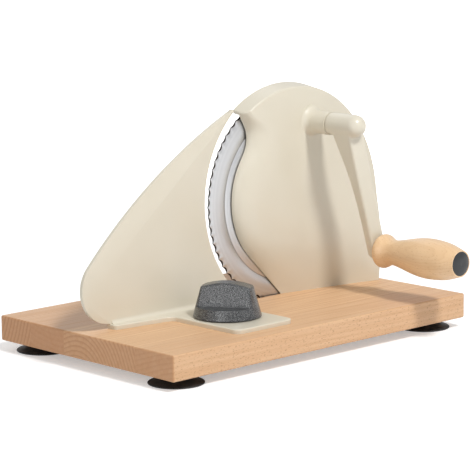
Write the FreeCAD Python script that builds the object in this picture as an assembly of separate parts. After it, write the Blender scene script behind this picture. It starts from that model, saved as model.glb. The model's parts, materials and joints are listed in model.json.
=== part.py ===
import FreeCAD, Part
import math
import os
from FreeCAD import Vector

# A hand cranked bread slicer on a wooden board. All sizes are millimetres.
# X runs along the board, Y away from the person who cuts, Z up from the table.
# Depths along Y are counted from the middle of the board until the last step.

# Board
board_length = 350.0
board_depth = 223.0
board_thickness = 22.0
board_edge_round = 1.6

# Suction feet
foot_height = 8.5
foot_lip_radius = 23.5
foot_lip_width = 2.0
foot_lip_thickness = 1.0
foot_neck_radius = 11.0
foot_neck_height = 2.0
foot_hollow = 3.4
foot_inset = 26.0
foot_screw_radius = 1.8
foot_screw_head_radius = 4.0
foot_screw_head_height = 2.2
foot_screw_depth = 13.0

# Blade and where its axis stands
blade_radius = 95.0
blade_thickness = 1.4
blade_front = 6.0
blade_dip = 7.0
blade_teeth = 72
blade_tooth_depth = 1.0
blade_edge_thickness = 0.4
blade_bevel_radius = 83.0
blade_groove_radius = 75.5
blade_groove_width = 1.6
blade_groove_depth = 0.3
blade_slot_clearance = 1.4
blade_slot_depth_clearance = 3.0
blade_screw_count = 3
blade_screw_circle = 11.5
blade_screw_radius = 2.0
blade_screw_head_radius = 3.3
blade_screw_head_height = 1.5
blade_screw_length = 7.0

# Gears between crank and blade
gear_module = 2.0
gear_ratio = 2
gear_rim_gap = 4.4
gear_pressure_angle = 20.0
gear_backlash = 0.16
gear_front = -2.2
gear_thickness = 4.6
gear_boss_gap = 0.3
crank_lean = 16.5
blade_hub_radius = 15.0
blade_spigot_radius = 8.0
blade_spigot_clearance = 0.05
blade_bush_wall = 2.0

# Blade axle with its washer and screw
axle_radius = 4.0
axle_embed = 4.4
axle_end_float = 0.3
axle_washer_radius = 7.0
axle_washer_thickness = 0.9
axle_screw_radius = 2.5
axle_screw_length = 9.0
axle_screw_head_radius = 4.3
axle_screw_head_height = 1.7

# Crank shaft, bush, washer and circlip
shaft_radius = 5.0
shaft_flat = 4.2
shaft_in_crank = 24.0
running_clearance = 0.05
crank_bush_wall = 2.0
circlip_radius = 7.6
circlip_thickness = 0.7
circlip_groove = 0.6
circlip_gap = 0.1
shaft_tip = 0.2
crank_washer_radius = 9.7
crank_washer_thickness = 0.8

# Housing casting
hood_gap = 3.5
hood_back = 10.8
hood_end_inset = 6.0
hood_draft = 4.0
hood_front_shift_x = 3.0
hood_front_drop = 5.0
hood_front_station = -40.0
housing_wall = 2.6
rim_wall = 3.0
lip_back = 4.8
nose_inset = 8.0
blade_open_width = 26.5
guard_sweep_radius = 26.5
guard_sweep_angle = 143.8
guard_foot_angle = 225.0
face_round_waist = 24.0
face_round_nose = 8.0
face_round_low = 55.0
face_round_high = 82.0
face_margin = 6.0
rim_edge_round = 1.8
base_block_gap = 1.5
base_block_height = 9.0
base_wall = 3.0
crank_boss_radius = 10.3
crank_boss_end = -31.0
crank_boss_flare = 5.0
crank_boss_flare_length = 7.0
axle_boss_radius = 10.5
cover_boss_radius = 4.0
housing_screw_radius = 2.5
housing_screw_clearance = 0.2
housing_screw_head_radius = 4.2
housing_screw_head_height = 5.0
housing_screw_counterbore = 7.0
housing_screw_counterbore_radius = 5.0
housing_screw_grip = 7.5
housing_screw_y = 2.6
housing_screw_inset = 8.0
housing_screw_count = 3

# How far the face stands in front of the board's middle, as a curve across it
# at each height above the blade's axis: height, depth, slope and curvature.
# Past its first and last height the face goes on as it is there.
face_sections = (
    (-94.0, -4.6, 0.1315, 0.00050),
    (-45.0, 7.0, 0.0600, 0.00030),
    (0.0, 8.6, 0.0200, -0.00010),
    (45.0, 8.6, 0.0000, -0.00030),
    (75.0, 7.4, 0.0000, -0.00050),
    (104.0, 5.4, 0.0000, -0.00070),
)

# Gear cover sheet
cover_thickness = 1.2
cover_clearance = 0.4
cover_hole_clearance = 1.5
cover_screw_radius = 1.5
cover_screw_head_radius = 2.7
cover_screw_length = 4.4
cover_screw_spots = ((111.5, 28.5), (41.5, 13.5), (-17.5, 22.0), (-73.5, 30.5))

# Crank casting
crank_length = 119.0
crank_direction = 16.0
crank_hub_radius = 10.0
crank_front = -59.5
crank_half_width_top = 9.2
crank_half_width_end = 8.2
crank_back_line = ((-12.0, 21.0), (8.0, 20.0), (28.0, 15.5), (52.0, 11.0), (82.0, 8.6))
crank_tip_depth = 8.4
crank_tip_margin = 0.8
crank_edge_round = 2.0

# Wooden handle on its spindle
handle_gap = 0.7
handle_profile = (
    (0.0, 8.6), (0.9, 11.9), (3.0, 14.6), (5.4, 15.2), (8.6, 14.2), (12.8, 12.1), (17.4, 11.3),
    (23.0, 11.9), (30.0, 13.3), (38.5, 15.2), (48.0, 16.9), (59.0, 17.8), (71.0, 17.2),
    (81.0, 15.7), (89.0, 13.4), (94.3, 11.7),
)
spindle_radius = 4.0
spindle_thread_radius = 3.0
spindle_head_radius = 6.5
spindle_head_height = 3.0
handle_washer_radius = 9.0
handle_washer_thickness = 0.9
handle_float = 0.2
handle_socket_depth = 8.6
plug_radius = 10.7
plug_depth = 3.0
plug_dome = 1.7

# Guide fence: plate, foot and slot
slice_at_rest = 3.4
slice_most = 16.0
fence_thickness = 3.2
fence_gap_top = 11.7
fence_gap_side = 9.1
fence_gap_low = 6.5
fence_top_angle = 131.0
fence_side_angle = 174.0
fence_tip_round = 1.5
fence_end_inset = 0.5
fence_corner_radius = 29.5
fence_corner_height = 34.2
fence_bow = 10.0
fence_flange_reach = 10.0
fence_flange_end_reach = 16.5
fence_foot_reach = 88.5
fence_foot_width = 65.5
fence_foot_front = -92.5
fence_foot_thickness = 4.0
fence_foot_round = 7.0
fence_root_round = 4.0
fence_edge_round = 1.0
fence_flange_round = 3.0
slot_end_clearance = 0.6

# Clamp: bolt, key, washer and knob
clamp_y = -45.0
clamp_bolt_radius = 4.0
clamp_bolt_clearance = 0.2
clamp_head_radius = 9.0
clamp_head_height = 3.4
clamp_recess_radius = 11.0
clamp_recess_depth = 5.0
clamp_neck_side = 8.0
clamp_neck_height = 4.0
key_width = 9.8
key_length = 16.0
key_sink = 3.0
key_side_clearance = 0.1
key_top_gap = 0.2
clamp_washer_radius = 14.0
clamp_washer_thickness = 1.2
knob_radius = 29.5
knob_top_radius = 21.4
knob_height = 29.5
knob_skirt_height = 9.5
knob_ridge_half = 12.0
knob_ridge_top_half = 8.0
knob_direction = -57.0
knob_gap = 0.3
knob_edge_round = 2.4
knob_base_round = 0.8
insert_wall = 2.2
insert_height = 14.0
insert_thread_clearance = 0.06
knob_crown_drop = 3.6

# Heights and centres that follow from the sizes above
board_top = foot_height + board_thickness
blade_height = blade_radius - blade_dip
hood_radius = blade_radius + hood_gap + rim_wall
hood_front_radius = hood_radius - hood_draft
guard_arc_radius = blade_radius - blade_open_width
nose_x = nose_inset - guard_arc_radius
blade_x = board_length / 2.0 - hood_end_inset - hood_radius
fence_left = fence_end_inset - board_length / 2.0
fence_flange_left = fence_left + fence_corner_radius
fence_foot_right = blade_x - fence_foot_reach
fence_foot_left = fence_foot_right - fence_foot_width
clamp_x = (fence_foot_left + fence_foot_right) / 2.0
axis_z = board_top + blade_height
base_block_left = math.sqrt((blade_radius + base_block_gap) ** 2 - (blade_height - base_block_height) ** 2)
housing_screw_first = base_block_left + housing_screw_inset
housing_screw_span = hood_radius - housing_screw_inset - housing_screw_first
housing_screw_pitch = housing_screw_span / (housing_screw_count - 1)
gear_room = hood_radius - rim_wall - gear_rim_gap
crank_gear_teeth = int((gear_room / gear_module - 1.0) / (0.5 * gear_ratio + 1.0))
blade_gear_teeth = gear_ratio * crank_gear_teeth
gear_back = gear_front + gear_thickness
blade_back = blade_front + blade_thickness
cover_front = lip_back - cover_thickness
centre_distance = gear_module * (blade_gear_teeth + crank_gear_teeth) / 2.0
crank_x = blade_x + centre_distance * math.sin(math.radians(crank_lean))
crank_z = axis_z + centre_distance * math.cos(math.radians(crank_lean))
crank_face = crank_boss_end - crank_washer_thickness
crank_back = crank_back_line + ((crank_length + crank_half_width_end + crank_tip_margin, crank_tip_depth),)
handle_x = crank_x + crank_length * math.sin(math.radians(crank_direction))
handle_z = crank_z - crank_length * math.cos(math.radians(crank_direction))
handle_root = crank_front - handle_gap
handle_end = handle_root - handle_profile[-1][0]
fence_back = blade_back - slice_at_rest
fence_front = fence_back - fence_thickness
foot_top = board_top + fence_foot_thickness
knob_base = foot_top + knob_gap
boss_inner_end = gear_front - gear_boss_gap


def box(x0, x1, y0, y1, z0, z1):
    return Part.makeBox(x1 - x0, y1 - y0, z1 - z0, Vector(x0, y0, z0))


def rod_y(radius, y0, y1, x, z):
    return Part.makeCylinder(radius, y1 - y0, Vector(x, y0, z), Vector(0, 1, 0))


def rod_z(radius, z0, z1, x, y):
    return Part.makeCylinder(radius, z1 - z0, Vector(x, y, z0), Vector(0, 0, 1))


def tube_y(outer, inner, y0, y1, x, z):
    return rod_y(outer, y0, y1, x, z).cut(rod_y(inner, y0 - 1.0, y1 + 1.0, x, z))


def tube_z(outer, inner, z0, z1, x, y):
    return rod_z(outer, z0, z1, x, y).cut(rod_z(inner, z0 - 1.0, z1 + 1.0, x, y))


def turned_y(profile, x, z):
    """Turn a closed outline of (radius, y) points about an axis along Y."""
    points = [Vector(x + radius, y, z) for radius, y in profile]
    face = Part.Face(Part.makePolygon(points + points[:1]))
    return face.revolve(Vector(x, 0, z), Vector(0, 1, 0), 360)


def turned_z(profile, x, y):
    """Turn a closed outline of (radius, z) points about an axis along Z."""
    points = [Vector(x + radius, y, z) for radius, z in profile]
    face = Part.Face(Part.makePolygon(points + points[:1]))
    return face.revolve(Vector(x, y, 0), Vector(0, 0, 1), 360)


def polar(radius, degrees):
    """A point beside the blade's axis, as (x, z) from that axis."""
    angle = math.radians(degrees)
    return radius * math.cos(angle), radius * math.sin(angle)


def at_axis(x, y, z):
    """A point given from the blade's axis, in the model's own frame."""
    return Vector(blade_x + x, y, axis_z + z)


def arc(first, middle, last):
    return Part.Arc(first, middle, last).toShape()


def line(first, last):
    return Part.LineSegment(first, last).toShape()


def curve(points):
    spline = Part.BSplineCurve()
    spline.interpolate(points)
    return spline.toShape()


def smooth(value, low, high):
    """Go from 0 at low to 1 at high with no corner at either end."""
    t = min(max((value - low) / (high - low), 0.0), 1.0)
    return t * t * (3.0 - 2.0 * t)


def through(value, stations, column):
    """Read a column of a table of stations on a smooth curve through them all."""
    value = min(max(value, stations[0][0]), stations[-1][0])
    last = len(stations) - 2
    i = 0
    while i < last and value > stations[i + 1][0]:
        i += 1
    x0, x1 = stations[i][0], stations[i + 1][0]
    p0, p1 = stations[i][column], stations[i + 1][column]
    before, after = stations[max(i - 1, 0)], stations[min(i + 2, last + 1)]
    m0 = (p1 - before[column]) / (x1 - before[0])
    m1 = (after[column] - p0) / (after[0] - x0)
    t = (value - x0) / (x1 - x0)
    h = x1 - x0
    rise = (2 * t ** 3 - 3 * t ** 2 + 1) * p0 + (3 * t ** 2 - 2 * t ** 3) * p1
    return rise + (t ** 3 - 2 * t ** 2 + t) * h * m0 + (t ** 3 - t ** 2) * h * m1


# Board
def make_board():
    half = board_length / 2.0
    depth = board_depth / 2.0
    board = box(-half, half, -depth, depth, foot_height, board_top)
    board = board.makeFillet(board_edge_round, board.Edges)
    dip = blade_radius - blade_height + blade_slot_depth_clearance
    chord = math.sqrt(blade_radius ** 2 - blade_height ** 2) + blade_slot_depth_clearance
    slot_front = blade_front - blade_slot_clearance + 0.2
    slot = box(blade_x - chord, blade_x + chord, slot_front, blade_back + blade_slot_clearance,
               board_top - dip, board_top + 1.0)
    board = board.cut(slot)
    for x in housing_screw_places():
        hole = rod_z(housing_screw_radius + housing_screw_clearance, 0, board_top + 1.0, x, housing_screw_y)
        sink = rod_z(housing_screw_counterbore_radius, 0, foot_height + housing_screw_counterbore,
                     x, housing_screw_y)
        board = board.cut(hole.fuse(sink))
    for x, y in foot_places().values():
        pilot = rod_z(foot_screw_radius, 0, foot_height + foot_screw_depth, x, y)
        board = board.cut(pilot)
    bolt_hole = rod_z(clamp_bolt_radius + clamp_bolt_clearance, 0, board_top + 1.0, clamp_x, clamp_y)
    recess = rod_z(clamp_recess_radius, 0, foot_height + clamp_recess_depth, clamp_x, clamp_y)
    neck_top = foot_height + clamp_recess_depth + clamp_neck_height
    neck = square_post(clamp_neck_side / 2.0, 0, neck_top)
    pocket = key_block(board_top - key_sink, board_top + 1.0, 0.0)
    return board.cut(bolt_hole.fuse(recess).fuse(neck).fuse(pocket))


def square_post(half, z0, z1):
    return box(clamp_x - half, clamp_x + half, clamp_y - half, clamp_y + half, z0, z1)


def key_block(z0, z1, clearance):
    half_width = key_width / 2.0 + clearance
    half_length = key_length / 2.0
    return box(clamp_x - half_width, clamp_x + half_width, clamp_y - half_length,
               clamp_y + half_length, z0, z1)


# Suction feet and their screws
def foot_places():
    x = board_length / 2.0 - foot_inset
    y = board_depth / 2.0 - foot_inset
    return {
        "foot_front_left": (-x, -y),
        "foot_front_right": (x, -y),
        "foot_back_left": (-x, y),
        "foot_back_right": (x, y),
    }


def make_foot(x, y):
    neck_start = foot_height - foot_neck_height
    inner_lip = foot_lip_radius - foot_lip_width
    profile = (
        (foot_screw_radius + 0.3, foot_height),
        (foot_neck_radius, foot_height),
        (foot_neck_radius, neck_start),
        (foot_lip_radius, foot_lip_thickness),
        (foot_lip_radius, 0.0),
        (inner_lip, 0.0),
        (foot_neck_radius, foot_hollow),
        (foot_screw_radius + 0.3, foot_hollow),
    )
    return turned_z(profile, x, y)


def make_foot_screw(x, y):
    head_seat = foot_hollow
    head = rod_z(foot_screw_head_radius, head_seat - foot_screw_head_height, head_seat, x, y)
    head = head.makeFillet(0.8, [e for e in head.Edges if e.BoundBox.ZMax < head_seat - 1.0])
    shank = rod_z(foot_screw_radius, head_seat, foot_height + foot_screw_depth, x, y)
    slot = box(x - foot_screw_head_radius, x + foot_screw_head_radius, y - 0.5, y + 0.5,
               head_seat - foot_screw_head_height, head_seat - foot_screw_head_height + 1.0)
    return head.fuse(shank).cut(slot).removeSplitter()


# Housing
def guard_edge(z):
    """Where the face ends over the blade, left of the axis, at a height from the axis."""
    foot_x, foot_z = polar(guard_arc_radius, guard_foot_angle)
    turn_x, turn_z = polar(guard_arc_radius, guard_sweep_angle)
    sweep_x, sweep_z = polar(guard_arc_radius + guard_sweep_radius, guard_sweep_angle)
    if z < foot_z:
        lean = math.radians(guard_foot_angle - 180.0)
        return foot_x + (foot_z - z) * math.tan(lean)
    if z < turn_z:
        return -math.sqrt(guard_arc_radius ** 2 - z * z)
    rest = guard_sweep_radius ** 2 - (z - sweep_z) ** 2
    if rest < 0.0:
        return nose_x
    return max(sweep_x + math.sqrt(rest), nose_x)


def face_depth(x, z):
    level = through(z, face_sections, 1)
    slope = through(z, face_sections, 2)
    bend = through(z, face_sections, 3)
    return level + slope * x + bend * x * x


def face_surface(inset):
    """The face as one smooth surface, moved inwards by an inset.

    It starts at the edge over the blade, rolls forward in a quarter of an oval
    and then runs across the domed face to beyond the right wall.
    """
    rows = []
    roll_steps = 5
    flat_steps = 7
    row_steps = 18
    right_end = hood_radius + face_margin
    low = -blade_height - face_margin
    high = hood_radius + 0.5 * face_margin
    for i in range(row_steps + 1):
        z = low + i * (high - low) / row_steps
        left = guard_edge(z) + inset
        shrink = smooth(z, face_round_low, face_round_high)
        width = face_round_waist + (face_round_nose - face_round_waist) * shrink
        row = []
        for j in range(roll_steps):
            angle = math.radians(90.0 * j / roll_steps)
            x = left + width * (1.0 - math.cos(angle))
            depth = -lip_back + (face_depth(x, z) + lip_back) * math.sin(angle)
            row.append(at_axis(x, inset - depth, z))
        for j in range(flat_steps + 1):
            x = left + width + (right_end - left - width) * j / flat_steps
            row.append(at_axis(x, inset - face_depth(x, z), z))
        rows.append(row)
    surface = Part.BSplineSurface()
    surface.interpolate(rows)
    return surface.toShape()


def hood_outline(y, inset, bottom, step):
    """The housing's outline in a plane across Y: hood arc, right wall and base.

    The arc shrinks towards the front, so the rim has its casting draft. A step
    raises the base to the right of the base block's left end.
    """
    forward = (hood_back - y) / (hood_back - hood_front_station)
    radius = hood_radius + (hood_front_radius - hood_radius) * forward - inset
    cx = hood_front_shift_x * forward
    cz = -hood_front_drop * forward
    start = math.radians(150.0)
    middle = math.radians(75.0)
    first = at_axis(cx + radius * math.cos(start), y, cz + radius * math.sin(start))
    top = at_axis(cx + radius * math.cos(middle), y, cz + radius * math.sin(middle))
    right = at_axis(cx + radius, y, cz)
    corner = at_axis(cx + radius, y, bottom + step)
    block_top = at_axis(base_block_left, y, bottom + step)
    block_foot = at_axis(base_block_left, y, bottom)
    far_left = at_axis(-hood_radius, y, bottom)
    far_top = at_axis(-hood_radius, y, cz + radius * math.sin(start))
    edges = [arc(first, top, right), line(right, corner)]
    if step > 0.0:
        edges += [line(corner, block_top), line(block_top, block_foot), line(block_foot, far_left)]
    else:
        edges += [line(corner, far_left)]
    edges += [line(far_left, far_top), line(far_top, first)]
    return Part.Wire(edges)


def hood_block(y0, y1, inset, bottom, step):
    wires = [hood_outline(y0, inset, bottom, step), hood_outline(y1, inset, bottom, step)]
    return Part.makeLoft(wires, True, True)


def housing_hollow(wall_gap):
    """The space inside the casting, in front of the blade and behind it."""
    inner = face_surface(housing_wall + wall_gap).extrude(Vector(0, hood_radius, 0))
    floor = -blade_height + base_wall + wall_gap
    rise = base_block_height - base_wall
    front = inner.common(hood_block(hood_front_station, lip_back + 0.01, rim_wall + wall_gap, floor, rise))
    return front


def make_housing():
    body = face_surface(0.0).extrude(Vector(0, hood_radius, 0))
    body = body.common(hood_block(hood_front_station, hood_back, 0.0, -blade_height, 0.0))
    back_bottom = -blade_height - 1.0
    behind = hood_block(lip_back, hood_back + 1.0, rim_wall, back_bottom, base_block_height + 1.0)
    rim = [e for e in body.Edges if is_rim_edge(e)]
    body = body.makeFillet(rim_edge_round, rim)
    body = body.cut(behind).cut(housing_hollow(0.0))
    flare_start = -face_depth(crank_x - blade_x, crank_z - axis_z)
    flare_steps = 8
    outline = [(0.0, crank_boss_end), (crank_boss_radius, crank_boss_end)]
    for i in range(flare_steps + 1):
        turn = math.radians(90.0 * i / flare_steps)
        outline.append((crank_boss_radius + crank_boss_flare * (1.0 - math.cos(turn)),
                        flare_start - crank_boss_flare_length * (1.0 - math.sin(turn))))
    outline += [
        (crank_boss_radius + crank_boss_flare, flare_start + 0.5 * housing_wall),
        (crank_boss_radius, boss_inner_end),
        (0.0, boss_inner_end),
    ]
    outer_boss = turned_y(outline, crank_x, crank_z)
    body = body.fuse(outer_boss)
    axle_face = -face_depth(0.0, 0.0) + 0.5 * housing_wall
    body = body.fuse(rod_y(axle_boss_radius, axle_face, boss_inner_end, blade_x, axis_z))
    for x, z in cover_screw_places():
        start = -face_depth(x, z) + 0.5 * housing_wall
        body = body.fuse(rod_y(cover_boss_radius, start, cover_front, blade_x + x, axis_z + z))
    body = body.cut(rod_y(shaft_radius + crank_bush_wall, crank_boss_end - 1.0, boss_inner_end + 1.0,
                          crank_x, crank_z))
    body = body.cut(rod_y(axle_radius, boss_inner_end - axle_embed, boss_inner_end + 1.0, blade_x, axis_z))
    for x, z in cover_screw_places():
        depth = cover_screw_length - cover_thickness
        body = body.cut(rod_y(cover_screw_radius, cover_front - depth, cover_front + 1.0,
                              blade_x + x, axis_z + z))
    for x in housing_screw_places():
        body = body.cut(rod_z(housing_screw_radius, board_top - 1.0, board_top + housing_screw_grip + 0.5,
                              x, housing_screw_y))
    return body


def is_rim_edge(edge):
    """Tell whether an edge joins the face to the rim or the right wall."""
    middle = edge.valueAt((edge.FirstParameter + edge.LastParameter) / 2.0)
    x = middle.x - blade_x
    z = middle.z - axis_z
    in_front = middle.y < 0.0
    on_rim = x * x + z * z > (0.88 * hood_radius) ** 2 and z > -blade_height + 1.0
    return in_front and on_rim and x > nose_x + 2.0


def housing_screw_places():
    """The screws in a row along the base block, right of the blade."""
    return [blade_x + housing_screw_first + i * housing_screw_pitch for i in range(housing_screw_count)]


def make_housing_screw(x, y):
    seat = foot_height + housing_screw_counterbore
    head = rod_z(housing_screw_head_radius, seat - housing_screw_head_height, seat, x, y)
    shank = rod_z(housing_screw_radius, seat, board_top + housing_screw_grip, x, y)
    socket = hexagon_z(2.0, seat - housing_screw_head_height, seat - 2.2, x, y)
    return head.fuse(shank).cut(socket)


def hexagon_z(flat, z0, z1, x, y):
    radius = flat / math.cos(math.radians(30.0))
    points = []
    for i in range(6):
        angle = math.radians(60.0 * i)
        points.append(Vector(x + radius * math.cos(angle), y + radius * math.sin(angle), z0))
    return Part.Face(Part.makePolygon(points + points[:1])).extrude(Vector(0, 0, z1 - z0))


# Gear cover
def make_gear_cover():
    slab = box(blade_x - 2 * hood_radius, blade_x + 2 * hood_radius, cover_front, lip_back,
               board_top - 1.0, axis_z + 2 * hood_radius)
    cover = housing_hollow(cover_clearance).common(slab)
    cover = cover.cut(rod_y(blade_hub_radius + cover_hole_clearance, cover_front - 1.0, lip_back + 1.0,
                            blade_x, axis_z))
    for x, z in cover_screw_places():
        cover = cover.cut(cover_screw_shape(x, z, 0.0))
    return cover


def cover_screw_places():
    """Each screw of the cover by its angle and how far inside the hood's rim it stands."""
    return [polar(hood_radius - inset, angle) for angle, inset in cover_screw_spots]


def cover_screw_shape(x, z, extra):
    head = turned_y((
        (0.0, lip_back),
        (cover_screw_head_radius + extra, lip_back),
        (cover_screw_radius + extra, cover_front),
        (0.0, cover_front),
    ), blade_x + x, axis_z + z)
    return head.fuse(rod_y(cover_screw_radius + extra, lip_back - cover_screw_length, cover_front,
                           blade_x + x, axis_z + z))


# Blade, its axle, bush and screws
def make_blade():
    bevel_front = blade_back - blade_edge_thickness
    groove_in = blade_groove_radius - blade_groove_width / 2.0
    groove_out = blade_groove_radius + blade_groove_width / 2.0
    blank = turned_y((
        (blade_spigot_radius + blade_spigot_clearance, blade_front),
        (groove_in, blade_front),
        (blade_groove_radius, blade_front + blade_groove_depth),
        (groove_out, blade_front),
        (blade_bevel_radius, blade_front),
        (blade_radius + 1.0, bevel_front),
        (blade_radius + 1.0, blade_back),
        (blade_spigot_radius + blade_spigot_clearance, blade_back),
    ), blade_x, axis_z)
    blade = blank.common(scalloped_disc())
    for i in range(blade_screw_count):
        x, z = blade_screw_place(i)
        blade = blade.cut(rod_y(blade_screw_radius + 0.1, blade_front - 1.0, blade_back + 1.0, x, z))
    return blade


def scalloped_disc():
    """A disc whose rim is a row of shallow hollows with a point between each two."""
    edges = []
    pitch = 360.0 / blade_teeth
    for i in range(blade_teeth):
        ends = [polar(blade_radius, pitch * (i + k)) for k in (0, 1)]
        low = polar(blade_radius - blade_tooth_depth, pitch * (i + 0.5))
        first, last = [at_axis(x, blade_front - 1.0, z) for x, z in ends]
        edges.append(arc(first, at_axis(low[0], blade_front - 1.0, low[1]), last))
    return Part.Face(Part.Wire(edges)).extrude(Vector(0, blade_thickness + 2.0, 0))


def blade_screw_place(i):
    x, z = polar(blade_screw_circle, 90.0 + 360.0 * i / blade_screw_count)
    return blade_x + x, axis_z + z


def make_blade_screw(i):
    x, z = blade_screw_place(i)
    shank = rod_y(blade_screw_radius, blade_back - blade_screw_length, blade_back, x, z)
    head = rod_y(blade_screw_head_radius, blade_back, blade_back + blade_screw_head_height, x, z)
    slot = box(x - blade_screw_head_radius, x + blade_screw_head_radius,
               blade_back + 0.6 * blade_screw_head_height, blade_back + 2.0, z - 0.5, z + 0.5)
    return shank.fuse(head).cut(slot)


def involute(angle):
    return math.tan(angle) - angle


def gear_disc(teeth, x, z, tooth_angle):
    """A spur gear with involute flanks, one tooth centred on the given angle."""
    pitch_radius = gear_module * teeth / 2.0
    pressure = math.radians(gear_pressure_angle)
    base_radius = pitch_radius * math.cos(pressure)
    tip_radius = pitch_radius + gear_module
    root_radius = pitch_radius - 1.25 * gear_module
    half_pitch_tooth = math.pi / (2 * teeth) - gear_backlash / (2 * pitch_radius)

    def half_angle(radius):
        if radius <= base_radius:
            return half_pitch_tooth + involute(pressure)
        return half_pitch_tooth + involute(pressure) - involute(math.acos(base_radius / radius))

    def point(radius, angle):
        return Vector(x + radius * math.cos(angle), gear_front, z + radius * math.sin(angle))

    start = max(base_radius, root_radius)
    flank_radii = [start + (tip_radius - start) * i / 4.0 for i in range(5)]
    edges = []
    step = 2 * math.pi / teeth
    for i in range(teeth):
        centre = math.radians(tooth_angle) + i * step
        rise = [point(r, centre - half_angle(r)) for r in flank_radii]
        fall = [point(r, centre + half_angle(r)) for r in reversed(flank_radii)]
        root_in = point(root_radius, centre - half_angle(root_radius))
        root_out = point(root_radius, centre + half_angle(root_radius))
        next_root = point(root_radius, centre + step - half_angle(root_radius))
        if root_radius < base_radius:
            edges.append(line(root_in, rise[0]))
        edges.append(curve(rise))
        edges.append(arc(rise[-1], point(tip_radius, centre), fall[0]))
        edges.append(curve(fall))
        if root_radius < base_radius:
            edges.append(line(fall[-1], root_out))
        edges.append(arc(root_out, point(root_radius, centre + step / 2.0), next_root))
    return Part.Face(Part.Wire(edges)).extrude(Vector(0, gear_thickness, 0))


def make_blade_gear():
    gear = gear_disc(blade_gear_teeth, blade_x, axis_z, 90.0 - crank_lean)
    root = gear_module * (blade_gear_teeth / 2.0 - 1.25)
    web = tube_y(root - 4.0, blade_hub_radius, gear_front - 1.0, gear_front + 1.2, blade_x, axis_z)
    gear = gear.cut(web)
    gear = gear.fuse(rod_y(blade_hub_radius, gear_front, blade_front, blade_x, axis_z))
    gear = gear.fuse(rod_y(blade_spigot_radius, blade_front, blade_back - 0.1, blade_x, axis_z))
    gear = gear.cut(rod_y(axle_radius + running_clearance + blade_bush_wall, gear_front - 1.0,
                          blade_back + 1.0, blade_x, axis_z))
    for i in range(blade_screw_count):
        x, z = blade_screw_place(i)
        gear = gear.cut(rod_y(blade_screw_radius, blade_back - blade_screw_length, blade_back, x, z))
    return gear


def make_blade_bush():
    inner = axle_radius + running_clearance
    return tube_y(inner + blade_bush_wall, inner, gear_front, blade_back - 0.1, blade_x, axis_z)


def axle_end():
    return blade_back - 0.1 + axle_end_float


def make_blade_axle():
    axle = rod_y(axle_radius, boss_inner_end - axle_embed, axle_end(), blade_x, axis_z)
    return axle.cut(rod_y(axle_screw_radius, axle_end() - axle_screw_length, axle_end() + 1.0,
                          blade_x, axis_z))


def make_axle_washer():
    return tube_y(axle_washer_radius, axle_screw_radius + 0.2, axle_end(),
                  axle_end() + axle_washer_thickness, blade_x, axis_z)


def make_axle_screw():
    seat = axle_end() + axle_washer_thickness
    screw = rod_y(axle_screw_radius, axle_end() - axle_screw_length + 0.5, seat, blade_x, axis_z)
    head = rod_y(axle_screw_head_radius, seat, seat + axle_screw_head_height, blade_x, axis_z)
    slot = box(blade_x - 0.6, blade_x + 0.6, seat + 0.7, seat + 3.0,
               axis_z - axle_screw_head_radius, axis_z + axle_screw_head_radius)
    return screw.fuse(head).cut(slot)


# Crank shaft and what is on it
def make_crank_bush():
    inner = shaft_radius + running_clearance
    return tube_y(shaft_radius + crank_bush_wall, inner, crank_boss_end, boss_inner_end, crank_x, crank_z)


def shaft_end():
    return gear_back + circlip_gap + circlip_thickness + shaft_tip


def make_crank_shaft():
    shaft = rod_y(shaft_radius, crank_face - shaft_in_crank, shaft_end(), crank_x, crank_z)
    flat = box(crank_x - shaft_radius, crank_x + shaft_radius, gear_front, shaft_end() + 1.0,
               crank_z + shaft_flat, crank_z + 2 * shaft_radius)
    groove = tube_y(shaft_radius + 1.0, shaft_radius - circlip_groove, gear_back + circlip_gap,
                    gear_back + circlip_gap + circlip_thickness, crank_x, crank_z)
    return shaft.cut(flat).cut(groove)


def make_crank_gear():
    away = 270.0 - crank_lean + 180.0 / crank_gear_teeth
    gear = gear_disc(crank_gear_teeth, crank_x, crank_z, away)
    bore = rod_y(shaft_radius, gear_front - 1.0, gear_back + 1.0, crank_x, crank_z)
    flat = box(crank_x - shaft_radius, crank_x + shaft_radius, gear_front - 2.0, gear_back + 2.0,
               crank_z + shaft_flat, crank_z + 2 * shaft_radius)
    return gear.cut(bore.cut(flat))


def make_circlip():
    start = gear_back + circlip_gap
    ring = tube_y(circlip_radius, shaft_radius - circlip_groove, start, start + circlip_thickness,
                  crank_x, crank_z)
    gap = box(crank_x - 2.0, crank_x + 2.0, start - 1.0, start + 2.0, crank_z - 2 * circlip_radius, crank_z)
    return ring.cut(gap)


def make_crank_washer():
    return tube_y(crank_washer_radius, shaft_radius + 0.2, crank_face, crank_boss_end, crank_x, crank_z)


def make_crank_arm():
    hub = rod_y(crank_hub_radius, crank_front, crank_face, crank_x, crank_z)
    dome = Part.makeSphere(crank_hub_radius, Vector(crank_x, crank_front, crank_z))
    hub = hub.fuse(dome.common(rod_y(crank_hub_radius + 1.0, crank_front - crank_hub_radius - 1.0,
                                     crank_front, crank_x, crank_z)))
    lever = lever_outline().extrude(Vector(0, crank_length, 0)).common(lever_side())
    front = [e for e in lever.Edges if e.BoundBox.YMax < crank_front + 0.01]
    lever = lever.makeFillet(crank_edge_round, front)
    arm = hub.fuse(lever)
    arm = arm.cut(rod_y(shaft_radius, crank_face - shaft_in_crank, crank_face + 1.0, crank_x, crank_z))
    return arm.cut(rod_y(spindle_thread_radius, crank_front - 1.0, crank_face, handle_x, handle_z))


def lever_point(along, across, y):
    """A point on the lever: a distance down it and a distance to its right."""
    lean = math.radians(crank_direction)
    x = crank_x + along * math.sin(lean) + across * math.cos(lean)
    z = crank_z - along * math.cos(lean) + across * math.sin(lean)
    return Vector(x, y, z)


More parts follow.
